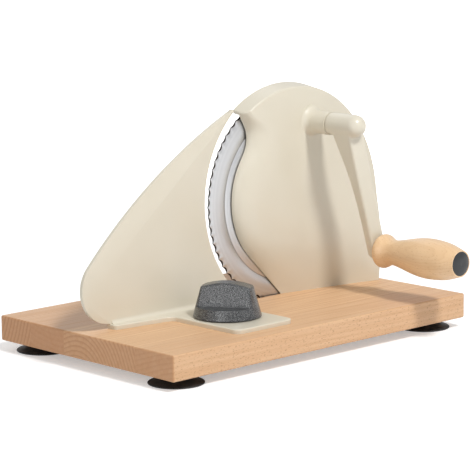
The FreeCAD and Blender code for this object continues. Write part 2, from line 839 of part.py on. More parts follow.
def lever_outline():
    """The lever seen from the front: two straight sides and a round end."""
    y = crank_front
    top, end = crank_half_width_top, crank_half_width_end
    left_top, right_top = lever_point(0, -top, y), lever_point(0, top, y)
    left_end, right_end = lever_point(crank_length, -end, y), lever_point(crank_length, end, y)
    cap = arc(right_end, lever_point(crank_length + end, 0, y), left_end)
    return Part.Face(Part.Wire([line(left_top, right_top), line(right_top, right_end), cap,
                                line(left_end, left_top)]))


def lever_side():
    """The lever seen from its side: a flat front, and a back that hollows as it goes down."""
    reach = 2 * crank_hub_radius
    back = [lever_point(along, -reach, crank_front + depth) for along, depth in crank_back]
    front_top = lever_point(crank_back[0][0], -reach, crank_front - 1.0)
    front_end = lever_point(crank_back[-1][0], -reach, crank_front - 1.0)
    wire = Part.Wire([curve(back), line(back[-1], front_end), line(front_end, front_top),
                      line(front_top, back[0])])
    across = lever_point(0, reach, 0) - lever_point(0, -reach, 0)
    return Part.Face(wire).extrude(across)


# Handle, spindle, washer and plug
def socket_floor():
    return handle_end + handle_socket_depth


def make_handle_grip():
    points = [Vector(handle_x + radius, handle_root - along, handle_z) for along, radius in handle_profile]
    root = Vector(handle_x, handle_root, handle_z)
    tip = Vector(handle_x, handle_end, handle_z)
    wire = Part.Wire([line(root, points[0]), curve(points), line(points[-1], tip), line(tip, root)])
    grip = Part.Face(wire).revolve(root, Vector(0, 1, 0), 360)
    grip = grip.cut(rod_y(spindle_radius + running_clearance, handle_end - 1.0, handle_root + 1.0,
                          handle_x, handle_z))
    return grip.cut(rod_y(plug_radius, handle_end - 1.0, socket_floor(), handle_x, handle_z))


def spindle_seat():
    return socket_floor() - handle_float


def make_handle_spindle():
    head_start = spindle_seat() - handle_washer_thickness
    shoulder = rod_y(spindle_radius, head_start, crank_front, handle_x, handle_z)
    thread = rod_y(spindle_thread_radius, crank_front, crank_front + crank_tip_depth - 0.6,
                   handle_x, handle_z)
    head = rod_y(spindle_head_radius, head_start - spindle_head_height, head_start, handle_x, handle_z)
    slot = box(handle_x - spindle_head_radius, handle_x + spindle_head_radius,
               head_start - spindle_head_height - 1.0, head_start - spindle_head_height + 1.2,
               handle_z - 0.7, handle_z + 0.7)
    return shoulder.fuse(thread).fuse(head).cut(slot)


def make_handle_washer():
    return tube_y(handle_washer_radius, spindle_radius, spindle_seat() - handle_washer_thickness,
                  spindle_seat(), handle_x, handle_z)


def make_end_plug():
    shank = rod_y(plug_radius, handle_end, handle_end + plug_depth, handle_x, handle_z)
    rim = Vector(handle_x + plug_radius, handle_end, handle_z)
    crown = Vector(handle_x, handle_end - plug_dome, handle_z)
    centre = Vector(handle_x, handle_end, handle_z)
    bend = Vector(handle_x + 0.72 * plug_radius, handle_end - 0.62 * plug_dome, handle_z)
    wire = Part.Wire([arc(rim, bend, crown), line(crown, centre), line(centre, rim)])
    dome = Part.Face(wire).revolve(centre, Vector(0, 1, 0), 360)
    return shank.fuse(dome).removeSplitter()


# Fence
def fence_outline():
    """The fence's plate seen from the front: a fin with a hollow edge round the blade."""
    y = fence_front
    top = polar(blade_radius + fence_gap_top, fence_top_angle)
    side = polar(blade_radius + fence_gap_side, fence_side_angle)
    low_radius = blade_radius + fence_gap_low
    low = (-math.sqrt(low_radius ** 2 - blade_height ** 2), -blade_height)
    tip_x, tip_z = polar(blade_radius + fence_gap_top + 2 * fence_tip_round, fence_top_angle)
    tip_mid = polar(blade_radius + fence_gap_top + fence_tip_round, fence_top_angle - 1.3)
    corner_x = fence_left + fence_corner_radius
    corner_z = board_top + fence_corner_height
    lean = math.radians(137.0)
    shoulder = Vector(corner_x + fence_corner_radius * math.cos(lean), y,
                      corner_z + fence_corner_radius * math.sin(lean))
    leftmost = Vector(fence_left, y, corner_z)
    turn = math.radians(270.0)
    under = Vector(corner_x + fence_corner_radius * math.cos(turn), y,
                   corner_z + fence_corner_radius * math.sin(turn))
    tip = at_axis(tip_x, y, tip_z)
    chord = (shoulder - tip)
    middle = (tip + shoulder) * 0.5
    normal = Vector(chord.z, 0, -chord.x)
    normal.normalize()
    bulge = middle + normal * fence_bow
    flange = Vector(fence_flange_left, y, under.z)
    flange_foot = Vector(fence_flange_left, y, board_top)
    low_point = at_axis(low[0], y, low[1])
    top_point = at_axis(top[0], y, top[1])
    edges = [
        arc(low_point, at_axis(side[0], y, side[1]), top_point),
        arc(top_point, at_axis(tip_mid[0], y, tip_mid[1]), tip),
        arc(tip, bulge, shoulder),
        arc(shoulder, leftmost, under),
        line(flange, flange_foot),
        line(flange_foot, low_point),
    ]
    if abs(under.x - flange.x) > 0.001:
        edges.insert(4, line(under, flange))
    return Part.Face(Part.Wire(edges))


def fence_foot():
    """The foot that lies on the board: a flange under the plate and a tongue to the knob."""
    low_radius = blade_radius + fence_gap_low
    right = blade_x - math.sqrt(low_radius ** 2 - blade_height ** 2)
    points = [
        Vector(fence_flange_left, fence_back, board_top),
        Vector(fence_flange_left, fence_front - fence_flange_reach + 3.0, board_top),
        Vector(fence_foot_left, fence_front - fence_flange_reach - 3.0, board_top),
        Vector(fence_foot_left, fence_foot_front, board_top),
        Vector(fence_foot_right, fence_foot_front, board_top),
        Vector(fence_foot_right, fence_front - fence_flange_end_reach, board_top),
        Vector(right, fence_front - 3.0, board_top),
        Vector(right, fence_back, board_top),
    ]
    foot = Part.Face(Part.makePolygon(points + points[:1])).extrude(Vector(0, 0, fence_foot_thickness))
    uprights = [e for e in foot.Edges if e.BoundBox.ZLength > 0.5 * fence_foot_thickness]
    corners = [e for e in uprights if e.BoundBox.YMax < fence_front - 3.5 and e.BoundBox.XMin > fence_flange_left + 1.0]
    foot = foot.makeFillet(fence_foot_round, corners)
    ends = [e for e in foot.Edges if e.BoundBox.ZLength > 0.5 * fence_foot_thickness
            and e.BoundBox.XMax < fence_flange_left + 0.01 and e.BoundBox.YMax < fence_front - 1.0]
    foot = foot.makeFillet(fence_flange_round, ends)
    top_edges = []
    for edge in foot.Edges:
        if edge.BoundBox.ZMin > foot_top - 0.01 and edge.BoundBox.YMin < fence_front - 2.5:
            if edge.BoundBox.YMax < fence_front - 2.0:
                top_edges.append(edge)
    return foot.makeFillet(fence_edge_round, top_edges)


def make_fence():
    plate = fence_outline().extrude(Vector(0, fence_thickness, 0))
    foot = fence_foot()
    cove_right = fence_foot_right
    cove = box(fence_flange_left + 1.5, cove_right, fence_front - fence_root_round, fence_front,
               foot_top, foot_top + fence_root_round)
    scoop = Part.makeCylinder(fence_root_round, board_length,
                              Vector(fence_left, fence_front - fence_root_round, foot_top + fence_root_round),
                              Vector(1, 0, 0))
    fence = plate.fuse(foot).fuse(cove.cut(scoop)).removeSplitter()
    travel_back = slice_at_rest
    travel_front = slice_most - slice_at_rest
    half_key = key_length / 2.0
    slot_half = key_width / 2.0 + key_side_clearance
    slot = box(clamp_x - slot_half, clamp_x + slot_half,
               clamp_y - half_key - travel_back - slot_end_clearance,
               clamp_y + half_key + travel_front + slot_end_clearance, board_top - 1.0, foot_top + 1.0)
    return fence.cut(slot)


# Clamp
def make_guide_key():
    key = key_block(board_top - key_sink, foot_top - key_top_gap, 0.0)
    return key.cut(rod_z(clamp_bolt_radius + clamp_bolt_clearance, 0, foot_top + 1.0, clamp_x, clamp_y))


def make_clamp_bolt():
    seat = foot_height + clamp_recess_depth
    head = rod_z(clamp_head_radius, seat - clamp_head_height, seat, clamp_x, clamp_y)
    head = head.makeFillet(1.5, [e for e in head.Edges if e.BoundBox.ZMax < seat - 1.0])
    neck = square_post(clamp_neck_side / 2.0, seat, seat + clamp_neck_height)
    shank = rod_z(clamp_bolt_radius, seat, knob_base + insert_height - 1.0, clamp_x, clamp_y)
    return head.fuse(neck).fuse(shank)


def make_clamp_washer():
    return tube_z(clamp_washer_radius, clamp_bolt_radius + clamp_bolt_clearance, foot_top,
                  foot_top + clamp_washer_thickness, clamp_x, clamp_y)


def insert_base():
    return foot_top + clamp_washer_thickness


def make_knob_insert():
    inner = clamp_bolt_radius + insert_thread_clearance
    return tube_z(inner + insert_wall, inner, insert_base(), knob_base + insert_height, clamp_x, clamp_y)


def make_clamp_knob():
    """The knob is made square to its own axes at the origin, then turned and set on its bolt."""
    cone = Part.makeCone(knob_radius, knob_top_radius, knob_height)
    cone.rotate(Vector(0, 0, 0), Vector(0, 0, 1), 90)
    for side in (1, -1):
        cone = cone.cut(knob_side(side))
    crown_radius = (knob_top_radius ** 2 + knob_crown_drop ** 2) / (2.0 * knob_crown_drop)
    crown = Part.makeCylinder(crown_radius, 4 * knob_radius,
                              Vector(0, -2 * knob_radius, knob_height - crown_radius), Vector(0, 1, 0))
    knob = cone.common(crown)
    ridge = [e for e in knob.Edges if e.BoundBox.ZMax > knob_skirt_height + 0.01]
    knob = knob.makeFillet(knob_edge_round, ridge)
    base = [e for e in knob.Edges if e.BoundBox.ZMax < 0.01]
    knob = knob.makeFillet(knob_base_round, base)
    knob.rotate(Vector(0, 0, 0), Vector(0, 0, 1), knob_direction)
    knob.translate(Vector(clamp_x, clamp_y, knob_base))
    knob = knob.cut(rod_z(clamp_washer_radius + 0.5, knob_base - 1.0, insert_base(), clamp_x, clamp_y))
    outer = clamp_bolt_radius + insert_thread_clearance + insert_wall
    return knob.cut(rod_z(outer, knob_base - 1.0, knob_base + insert_height, clamp_x, clamp_y))


def knob_side(side):
    """What is cut away on one side of the grip ridge, leaning inwards to the top."""
    reach = 2 * knob_radius
    top = knob_height + 1.0
    points = (
        (side * knob_ridge_half, knob_skirt_height),
        (side * reach, knob_skirt_height),
        (side * reach, top),
        (side * knob_ridge_top_half, top),
    )
    outline = [Vector(-reach, across, z) for across, z in points]
    return Part.Face(Part.makePolygon(outline + outline[:1])).extrude(Vector(2 * reach, 0, 0))


def main():
    nodes = {
        "board": make_board(),
        "housing": make_housing(),
        "gear_cover": make_gear_cover(),
        "blade": make_blade(),
        "blade_gear": make_blade_gear(),
        "blade_bush": make_blade_bush(),
        "blade_axle": make_blade_axle(),
        "axle_washer": make_axle_washer(),
        "axle_screw": make_axle_screw(),
        "crank_bush": make_crank_bush(),
        "crank_shaft": make_crank_shaft(),
        "crank_gear": make_crank_gear(),
        "crank_circlip": make_circlip(),
        "crank_washer": make_crank_washer(),
        "crank_arm": make_crank_arm(),
        "handle_spindle": make_handle_spindle(),
        "handle_washer": make_handle_washer(),
        "handle_grip": make_handle_grip(),
        "end_plug": make_end_plug(),
        "fence": make_fence(),
        "guide_key": make_guide_key(),
        "clamp_bolt": make_clamp_bolt(),
        "clamp_washer": make_clamp_washer(),
        "knob_insert": make_knob_insert(),
        "clamp_knob": make_clamp_knob(),
    }
    for name, (x, y) in foot_places().items():
        nodes[name] = make_foot(x, y)
    nodes["foot_screws"] = Part.makeCompound([make_foot_screw(x, y) for x, y in foot_places().values()])
    nodes["housing_screws"] = Part.makeCompound(
        [make_housing_screw(x, housing_screw_y) for x in housing_screw_places()])
    nodes["gear_cover_screws"] = Part.makeCompound(
        [cover_screw_shape(x, z, 0.0) for x, z in cover_screw_places()])
    nodes["blade_screws"] = Part.makeCompound([make_blade_screw(i) for i in range(blade_screw_count)])

    # The origin is on the table, under the middle of the whole object.
    middle_y = (board_depth / 2.0 + handle_end - plug_dome) / 2.0
    os.makedirs("parts", exist_ok=True)
    for name, shape in nodes.items():
        placed = shape.copy()
        placed.translate(Vector(0, -middle_y, 0))
        placed.exportStep("parts/" + name + ".step")
        print(name, len(placed.Solids), placed.isValid(), round(placed.Volume, 1))
    print("shift along Y", round(-middle_y, 4))


main()
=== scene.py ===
# %% [markdown]
# # A hand cranked bread slicer
#
# This file dresses a bread slicer: a beech board on suction feet, a cream cast
# housing with a round blade, a sliding guide fence, a clamp knob and a crank.
# The parts were already built as solids. Here they get the surfaces and the
# finishes that the eye expects. Everything is in metres and the parts stand in
# one shared frame: X along the board, Y away from the crank, Z up.

# %% Load the solids
import json
import math
import bmesh
import bpy
import numpy as np
from mathutils import Matrix, Vector


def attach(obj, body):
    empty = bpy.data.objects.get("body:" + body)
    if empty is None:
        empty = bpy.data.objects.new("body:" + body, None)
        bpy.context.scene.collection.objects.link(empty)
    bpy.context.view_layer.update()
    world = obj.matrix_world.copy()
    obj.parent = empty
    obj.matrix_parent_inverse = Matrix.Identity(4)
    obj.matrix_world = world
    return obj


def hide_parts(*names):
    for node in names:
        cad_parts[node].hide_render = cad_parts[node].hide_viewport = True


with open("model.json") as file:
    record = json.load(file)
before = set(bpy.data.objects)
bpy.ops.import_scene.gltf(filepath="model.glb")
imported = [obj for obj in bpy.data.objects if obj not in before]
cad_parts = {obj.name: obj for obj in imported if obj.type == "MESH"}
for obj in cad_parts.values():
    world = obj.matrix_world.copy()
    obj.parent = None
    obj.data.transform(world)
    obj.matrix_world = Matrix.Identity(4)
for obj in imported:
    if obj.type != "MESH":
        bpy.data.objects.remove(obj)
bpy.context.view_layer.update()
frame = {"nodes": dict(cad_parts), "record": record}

# %% [markdown]
# ## The camera
#
# The slicer is seen from the left and a little above, from about two metres
# away with a long lens, so its lines hardly converge. The camera is placed by
# its own axes, because that way a small roll of the picture is easy to give.

# %% Place the camera
camera_place = Vector((-1.3512, -1.41055, 0.4388))
camera_target = Vector((0.1880, 0.22375, 0.0435))
camera_roll = math.radians(-0.49)
camera_lens = 175.3


def add_camera(place, target, roll, lens):
    """Look from place to target. Right is level, then both axes turn by the roll."""
    ahead = (target - place).normalized()
    level = ahead.cross(Vector((0, 0, 1))).normalized()
    up = level.cross(ahead)
    right = level * math.cos(roll) + up * math.sin(roll)
    above = up * math.cos(roll) - level * math.sin(roll)
    data = bpy.data.cameras.new("camera")
    data.lens = lens
    data.sensor_width = 36.0
    data.clip_start, data.clip_end = 0.05, 60.0
    camera = bpy.data.objects.new("camera", data)
    bpy.context.scene.collection.objects.link(camera)
    turn = Matrix((right, above, -ahead)).transposed().to_4x4()
    camera.matrix_world = Matrix.Translation(place) @ turn
    bpy.context.scene.camera = camera
    return camera


camera = add_camera(camera_place, camera_target, camera_roll, camera_lens)
print("camera at", tuple(round(v, 3) for v in camera.location))

# %% [markdown]
# ## Light, floor and background
#
# The studio is plain. One small soft lamp stands high in front of the middle, so
# that the board's long side is brighter than its end and the crank throws a band
# of shadow straight down the housing. Weak lamps at the left and behind lift the
# edges, and a pale world fills the shadows. White behind the object could come
# from more light, but that would bleach the paint. So the world is grey where it
# lights the object, and white where it is looked at or mirrored.

# %% Set the view, the world and the lamps
scene = bpy.context.scene
scene.view_settings.view_transform = "Standard"


def add_world(fill, shown, mirrored):
    """A grey fill that camera and transmission rays see as white, and mirror rays mostly so."""
    world = bpy.data.worlds.new("studio")
    world.use_nodes = True
    tree = world.node_tree
    tree.nodes.clear()
    out = tree.nodes.new("ShaderNodeOutputWorld")
    path = tree.nodes.new("ShaderNodeLightPath")
    soft = tree.nodes.new("ShaderNodeBackground")
    soft.inputs["Strength"].default_value = fill
    white = tree.nodes.new("ShaderNodeBackground")
    white.inputs["Strength"].default_value = shown
    either = tree.nodes.new("ShaderNodeMath")
    either.operation = "MAXIMUM"
    both = tree.nodes.new("ShaderNodeMath")
    both.operation = "MAXIMUM"
    mix = tree.nodes.new("ShaderNodeMixShader")
    tree.links.new(path.outputs["Is Camera Ray"], either.inputs[0])
    tree.links.new(path.outputs["Is Transmission Ray"], either.inputs[1])
    tree.links.new(either.outputs[0], both.inputs[0])
    mirror = tree.nodes.new("ShaderNodeMath")
    mirror.operation = "MULTIPLY"
    mirror.inputs[1].default_value = mirrored
    tree.links.new(path.outputs["Is Glossy Ray"], mirror.inputs[0])
    tree.links.new(mirror.outputs[0], both.inputs[1])
    tree.links.new(both.outputs[0], mix.inputs[0])
    tree.links.new(soft.outputs[0], mix.inputs[1])
    tree.links.new(white.outputs[0], mix.inputs[2])
    tree.links.new(mix.outputs[0], out.inputs["Surface"])
    scene.world = world


def add_lamp(name, place, target, size, power):
    """A square soft box that faces the target."""
    data = bpy.data.lights.new(name, "AREA")
    data.size = size
    data.energy = power
    lamp = bpy.data.objects.new(name, data)
    scene.collection.objects.link(lamp)
    lamp.location = place
    lamp.rotation_mode = "QUATERNION"
    lamp.rotation_quaternion = (Vector(target) - Vector(place)).to_track_quat("-Z", "Y")
    return lamp


middle = Vector((0.03, 0.03, 0.09))
fill_strength, white_strength, mirrored_share = 0.50, 1.0, 0.75
add_world(fill_strength, white_strength, mirrored_share)
add_lamp("lamp_key", (-0.05, -1.25, 1.75), middle, 0.34, 28.0)
add_lamp("lamp_left", (-1.9, -0.9, 0.7), middle, 1.3, 7.5)
add_lamp("lamp_back", (0.6, 1.4, 1.2), middle, 1.2, 3.0)

# %% [markdown]
# ## A small kit for materials
#
# Every finish here is a node tree. Writing each node by hand is long, so this
# helper keeps one tree and adds a node in one line: its kind, its settings and
# what goes into its sockets. A value goes in as a number, and the output of an
# earlier node goes in as a link.

# %% Define the material helper
MM = 1000.0


class Finish:
    """A material being made. Calls add nodes, and each returns the node's output."""

    def __init__(self, name, roughness, metallic=0.0, **fixed):
        self.material = bpy.data.materials.new(name)
        self.material.use_nodes = True
        self.tree = self.material.node_tree
        self.shader = self.tree.nodes["Principled BSDF"]
        self.shader.inputs["Roughness"].default_value = roughness
        self.shader.inputs["Metallic"].default_value = metallic
        for socket, value in fixed.items():
            self.shader.inputs[socket.replace("_", " ")].default_value = value
        where = self.tree.nodes.new("ShaderNodeTexCoord").outputs["Object"]
        self.place = self.vector("MULTIPLY", where, (MM, MM, MM))

    def put(self, node, socket, value):
        if isinstance(value, bpy.types.NodeSocket):
            self.tree.links.new(value, node.inputs[socket])
        else:
            node.inputs[socket].default_value = value

    def vector(self, operation, first, second):
        node = self.tree.nodes.new("ShaderNodeVectorMath")
        node.operation = operation
        self.put(node, 0, first)
        self.put(node, 1, second)
        return node.outputs["Value"] if operation in ("LENGTH", "DOT_PRODUCT") else node.outputs[0]

    def math(self, operation, first, second=0.0, third=0.0):
        node = self.tree.nodes.new("ShaderNodeMath")
        node.operation = operation
        self.put(node, 0, first)
        self.put(node, 1, second)
        self.put(node, 2, third)
        return node.outputs[0]

    def split(self, value):
        node = self.tree.nodes.new("ShaderNodeSeparateXYZ")
        self.put(node, 0, value)
        return node.outputs

    def join(self, x, y, z):
        node = self.tree.nodes.new("ShaderNodeCombineXYZ")
        for socket, value in enumerate((x, y, z)):
            self.put(node, socket, value)
        return node.outputs[0]

    def noise(self, size, stretch=(1, 1, 1), detail=2.0, at=None):
        """Soft noise whose lumps are about size millimetres, longer along a stretch."""
        scaled = self.vector("DIVIDE", self.place if at is None else at, tuple(size * s for s in stretch))
        node = self.tree.nodes.new("ShaderNodeTexNoise")
        node.inputs["Scale"].default_value = 1.0
        node.inputs["Detail"].default_value = detail
        self.put(node, "Vector", scaled)
        return node.outputs["Fac"]

    def cells(self, size):
        """The distance to the middle of the nearest of many cells, about size millimetres wide."""
        node = self.tree.nodes.new("ShaderNodeTexVoronoi")
        node.inputs["Scale"].default_value = 1.0
        self.put(node, "Vector", self.vector("DIVIDE", self.place, (size, size, size)))
        return node.outputs["Distance"]

    def remap(self, value, low, high, to_low=0.0, to_high=1.0, soft=False):
        node = self.tree.nodes.new("ShaderNodeMapRange")
        node.interpolation_type = "SMOOTHSTEP" if soft else "LINEAR"
        sockets = ("From Min", "From Max", "To Min", "To Max")
        for socket, number in zip(sockets, (low, high, to_low, to_high)):
            self.put(node, socket, number)
        self.put(node, "Value", value)
        return node.outputs["Result"]

    def blend(self, share, first, second):
        node = self.tree.nodes.new("ShaderNodeMix")
        node.data_type = "RGBA"
        self.put(node, 0, share)
        for socket, value in ((6, first), (7, second)):
            self.put(node, socket, value if isinstance(value, bpy.types.NodeSocket) else (*value, 1.0))
        return node.outputs[2]

    def bump(self, height, depth_mm, normal=None):
        """Raise the surface by height times a depth in millimetres, as seen by light only."""
        node = self.tree.nodes.new("ShaderNodeBump")
        node.inputs["Strength"].default_value = 1.0
        node.inputs["Distance"].default_value = depth_mm / MM
        self.put(node, "Height", height)
        if normal is not None:
            self.put(node, "Normal", normal)
        return node.outputs[0]

    def done(self, colour, roughness=None, normal=None):
        if isinstance(colour, tuple):
            colour = (*colour, 1.0)
        self.put(self.shader, "Base Color", colour)
        if roughness is not None:
            self.put(self.shader, "Roughness", roughness)
        if normal is not None:
            self.put(self.shader, "Normal", normal)
        return self.material


def linear(red, green, blue):
    """Turn a colour as a screen shows it, 0 to 255, into the light values nodes use."""
    share = np.array((red, green, blue)) / 255.0
    low = share / 12.92
    high = ((share + 0.055) / 1.055) ** 2.4
    return tuple(float(v) for v in np.where(share <= 0.04045, low, high))


print("half grey on a screen is", round(linear(128, 128, 128)[0], 3), "of white light")

# %% [markdown]
# ## Cream stove enamel
#
# The castings are painted a glossy cream. The paint levels well, so its colour
# drifts by less than a percent and only a very fine orange peel is left. A
# stronger bump would read as dirt from a step away, so both are kept small.

# %% Mix the cream paint
cream, cream_shade = (219, 212, 195), (216, 209, 191)
peel_size, peel_depth = 1.8, 0.006


def cream_paint():
    paint = Finish("cream_paint", 0.34, Coat_Weight=0.2, Coat_Roughness=0.16)
    drift = paint.remap(paint.noise(60.0), 0.3, 0.7)
    colour = paint.blend(drift, linear(*cream), linear(*cream_shade))
    peel = paint.noise(peel_size, detail=1.0)
    gloss = paint.remap(paint.noise(55.0), 0.3, 0.7, 0.32, 0.36)
    return paint.done(colour, gloss, paint.bump(peel, peel_depth))


print("cream is", tuple(round(v, 3) for v in linear(*cream)))

# %% [markdown]
# ## Beech
#
# Wood is a solid, so its picture is worked out in space and not painted on each
# face. The board is glued from four staves. Each stave has its own pith, a line
# along the board, and the year rings are shells round that line. Where a face
# cuts across, the shells show as arcs, and where it cuts along, as long lines.
# Beech also has rays: short dark flecks that lie along the grain.

# %% Grow the beech of the board
stave_edges = (-42.8, 48.1, 92.2)
stave_piths = ((-118.0, -150.0), (34.0, -14.0), (60.0, 160.0), (250.0, 72.0))
stave_tints = ((222, 182, 142), (228, 189, 148), (212, 169, 130), (220, 178, 138))
stave_figure = (0.45, 1.0, 0.35, 1.25)
stave_shifts = (0.0, 310.0, 730.0, 1270.0)
board_year, board_sway = 4.2, 16.0
board_half_length, board_top = 175.0, 30.5
streak_tint, late_wood_tint = (200, 150, 106), (174, 122, 80)
fleck_tint, end_tint = (158, 106, 68), (172, 112, 62)
ring_share_long, ring_share_end = 0.20, 0.55


def stave_value(wood, across, values):
    """Give each stave its own number: start with the first and add the change at each edge."""
    result = values[0]
    for edge, before, after in zip(stave_edges, values[:-1], values[1:]):
        step = wood.math("GREATER_THAN", across, edge)
        result = wood.math("MULTIPLY_ADD", step, after - before, result)
    return result


def board_beech():
    wood = Finish("board_beech", 0.5, Coat_Weight=0.08, Coat_Roughness=0.35)
    x, y, z = wood.split(wood.place)
    along = wood.math("ADD", x, stave_value(wood, y, stave_shifts))
    point = wood.join(along, y, z)
    pith_y = stave_value(wood, y, tuple(p[0] for p in stave_piths))
    pith_z = stave_value(wood, y, tuple(p[1] for p in stave_piths))
    sway = wood.noise(75.0, (4.0, 1.0, 1.0), 1.0, point)
    off_y = wood.math("SUBTRACT", y, pith_y)
    off_z = wood.math("SUBTRACT", z, pith_z)
    reach = wood.vector("LENGTH", wood.join(0.0, off_y, off_z), (0, 0, 0))
    reach = wood.math("MULTIPLY_ADD", sway, board_sway, reach)
    year = wood.math("FRACT", wood.math("DIVIDE", reach, board_year))
    ring = wood.remap(year, 0.35, 1.0, 0.0, 1.0, True)
    end = wood.remap(wood.math("ABSOLUTE", x), board_half_length - 1.4, board_half_length - 0.4)
    long_face = wood.remap(end, 0.0, 1.0, 1.0, 0.15)
    off_top = wood.remap(z, board_top - 1.5, board_top - 0.1, 1.0, 0.35)
    first, second, third, fourth = (linear(*tint) for tint in stave_tints)
    tint = wood.blend(wood.math("GREATER_THAN", y, stave_edges[0]), first, second)
    tint = wood.blend(wood.math("GREATER_THAN", y, stave_edges[1]), tint, third)
    tint = wood.blend(wood.math("GREATER_THAN", y, stave_edges[2]), tint, fourth)
    streak = wood.noise(3.0, (40.0, 1.0, 1.0), 4.0, point)
    tint = wood.blend(wood.remap(streak, 0.35, 0.7, 0.0, 0.40), tint, linear(*streak_tint))
    strength = wood.remap(end, 0.0, 1.0, ring_share_long, ring_share_end)
    figure = wood.math("MULTIPLY", stave_value(wood, y, stave_figure), strength)
    tint = wood.blend(wood.math("MULTIPLY", ring, figure), tint, linear(*late_wood_tint))
    fleck = wood.remap(wood.noise(0.9, (3.0, 1.0, 1.0), 1.0, point), 0.61, 0.67, 0.0, 0.55)
    fleck = wood.math("MULTIPLY", wood.math("MULTIPLY", fleck, long_face), off_top)
    tint = wood.blend(fleck, tint, linear(*fleck_tint))
    tint = wood.blend(wood.math("MULTIPLY", end, 0.50), tint, linear(*end_tint))
    pore = wood.noise(0.35, (9.0, 1.0, 1.0), 2.0, point)
    normal = wood.bump(pore, 0.03, wood.bump(ring, 0.02))
    gloss = wood.remap(streak, 0.3, 0.7, 0.42, 0.58)
    return wood.done(tint, gloss, normal)


# %% [markdown]
# The handle is turned from paler beech with a clear lacquer. Its rings are
# shells round a pith line beside the handle, so they run along it and close
# into arcs where the turning cuts through them.

# %% Grow the beech of the handle
handle_pith = (88.0, 96.0)
handle_year, handle_sway = 2.6, 7.0


def handle_beech():
    wood = Finish("handle_beech", 0.35, Coat_Weight=0.35, Coat_Roughness=0.18)
    x, _, z = wood.split(wood.place)
    sway = wood.noise(14.0, (1.0, 6.0, 1.0))
    off_x = wood.math("SUBTRACT", x, handle_pith[0])
    off_z = wood.math("SUBTRACT", z, handle_pith[1])
    reach = wood.vector("LENGTH", wood.join(off_x, 0.0, off_z), (0, 0, 0))
    reach = wood.math("MULTIPLY_ADD", sway, handle_sway, reach)
    year = wood.math("FRACT", wood.math("DIVIDE", reach, handle_year))
    ring = wood.remap(year, 0.3, 1.0, 0.0, 1.0, True)
    tint = wood.blend(wood.noise(16.0), linear(234, 200, 158), linear(227, 190, 146))
    tint = wood.blend(wood.math("MULTIPLY", ring, 0.16), tint, linear(206, 158, 112))
    fleck = wood.noise(0.7, (1.0, 5.0, 1.0), 1.0)
    tint = wood.blend(wood.remap(fleck, 0.64, 0.72, 0.0, 0.4), tint, linear(176, 124, 80))
    normal = wood.bump(wood.noise(0.4, (1.0, 8.0, 1.0)), 0.012)
    return wood.done(tint, None, normal)


# %% [markdown]
# ## Metals
#
# The blade is stainless steel, ground while it spins, so its scratches are
# circles round its axis. Noise on the distance from the axis alone gives closed
# rings. An angle would break them up, but it jumps at half a turn and would
# leave a seam there. The ground facets of the teeth look dark because they
# mirror a dark part of the room, so the blade's own mesh marks them and a
# painted dark reflection lowers the colour there. Plain steel, zinc, bronze
# and brass share one recipe with a colour and a roughness each.

# %% Grind the steel and plate the screws
blade_axis = (67.5, 118.5)
groove_radius = 75.5


def ground_blade():
    steel = Finish("ground_blade", 0.38, 1.0)
    x, _, z = steel.split(steel.place)
    off_x = steel.math("SUBTRACT", x, blade_axis[0])
    off_z = steel.math("SUBTRACT", z, blade_axis[1])
    radius = steel.vector("LENGTH", steel.join(off_x, 0.0, off_z), (0, 0, 0))
    rings = steel.join(radius, 0.0, 0.0)
    fine = steel.noise(0.30, detail=2.0, at=rings)
    broad = steel.noise(3.2, detail=2.0, at=rings)
    colour = steel.blend(steel.remap(broad, 0.35, 0.65), linear(205, 206, 208), linear(198, 199, 201))
    colour = steel.blend(steel.remap(fine, 0.35, 0.75, 0.0, 0.18), colour, linear(176, 177, 180))
    # painted shade: the colour darkens along the groove ring, standing in for the shade in that recess
    off_groove = steel.math("ABSOLUTE", steel.math("SUBTRACT", radius, groove_radius))
    groove = steel.remap(off_groove, 0.2, 0.55, 0.55, 0.0)
    colour = steel.blend(groove, colour, linear(112, 106, 104))
    # painted reflection: the colour is darkened on the marked facet rows, standing in for the dark room
    # they mirror
    facet = steel.tree.nodes.new("ShaderNodeAttribute")
    facet.attribute_name = "tooth_facet_shade"
    colour = steel.blend(facet.outputs["Fac"], colour, linear(66, 60, 56))
    gloss = steel.remap(broad, 0.3, 0.7, 0.36, 0.42)
    return steel.done(colour, gloss, steel.bump(fine, 0.0012))


def plain_metal(name, bright, dark, roughness):
    """A turned or plated metal: two close colours, fine streaks and a broken gloss."""
    metal = Finish(name, roughness, 1.0)
    patch = metal.noise(3.0, detail=3.0)
    colour = metal.blend(metal.remap(patch, 0.3, 0.7), linear(*bright), linear(*dark))
    gloss = metal.remap(patch, 0.3, 0.7, roughness - 0.06, roughness + 0.08)
    return metal.done(colour, gloss, metal.bump(metal.noise(0.3, (1.0, 4.0, 1.0)), 0.004))


# %% [markdown]
# ## Rubber and plastics
#
# The knob has a hammered lacquer: dark grey, with pale specks where the lacquer
# drew together. Cell noise makes the dimples, and a finer noise the specks. The
# corner of the step is darkened as painted shade, which the occlusion node
# finds: it asks how much of a small ball round a point is closed in. The
# cups are plain black rubber, and the cap and gears are moulded plastic.

# %% Mould the rubber and the plastics


